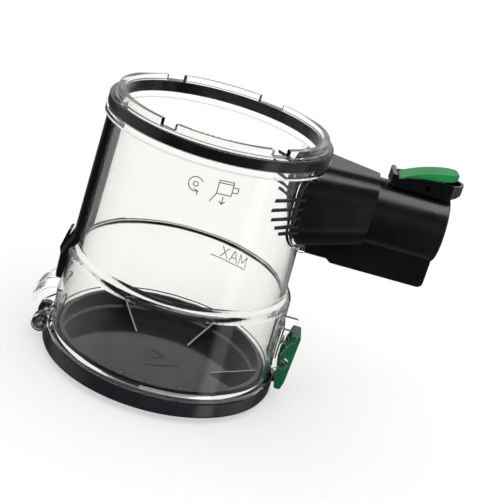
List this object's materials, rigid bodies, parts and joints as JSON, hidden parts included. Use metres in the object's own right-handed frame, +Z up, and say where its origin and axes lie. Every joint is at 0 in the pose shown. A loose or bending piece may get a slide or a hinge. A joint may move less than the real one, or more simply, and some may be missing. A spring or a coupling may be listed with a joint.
{
  "type": "cyclone dust bin",
  "caption": "Clear cylindrical vacuum dust bin with a drop-down bottom flap, a sprung flap latch, an inlet duct and a wand socket with a release lever.",
  "frame": {"origin": "centre of the bottom flap's underside, on which the bin stands", "axes": "+Z up along the bin's axis, +X towards the wand socket, -X towards the flap hinge"},
  "size_m": [0.2023, 0.128, 0.1488],
  "materials": {
    "clear_plastic": "gloss",
    "black_rubber": "matte",
    "black_gloss": "gloss",
    "black_satin": "satin",
    "green_lever": "gloss",
    "green_latch": "gloss",
    "grey_plastic": "matte",
    "steel": "satin",
    "brass": "satin"
  },
  "bodies": {
    "bin": {"bin_shell": "clear_plastic", "rim_band": "black_rubber", "hinge_pin": "steel", "latch_pin": "steel", "latch_spring": "steel", "inlet_duct": "black_satin", "duct_gasket": "black_rubber", "inlet_collar": "black_satin", "socket_seal": "black_rubber", "release_cradle": "black_gloss", "lever_pin": "steel", "lever_spring": "steel", "contact_housing": "black_satin", "housing_pin": "steel", "contact_block": "grey_plastic", "contact_sleeves": "brass", "back_rail": "black_satin"},
    "flap": {"bottom_flap": "black_gloss", "flap_seal": "black_rubber"},
    "latch": {"flap_latch": "green_latch"},
    "lever": {"release_lever": "green_lever"}
  },
  "joints": [
    {"name": "flap_hinge", "type": "hinge", "parent": "bin", "child": "flap", "pos_m": [-0.0653, 0, 0.01], "axis": [0, 1, 0], "range_deg": [0, 95]},
    {"name": "latch_press", "type": "hinge", "parent": "bin", "child": "latch", "pos_m": [0.0661, 0, 0.0228], "axis": [0, -1, 0], "range_deg": [0, 9], "stiffness_Nm_per_rad": 0.2, "springref_deg": -8.59, "deforming": ["latch_spring"]},
    {"name": "release_press", "type": "hinge", "parent": "bin", "child": "lever", "pos_m": [0.1096, 0, 0.1385], "axis": [0, 1, 0], "range_deg": [0, 8], "stiffness_Nm_per_rad": 0.2, "springref_deg": -8.59, "deforming": ["lever_spring"]}
  ]
}
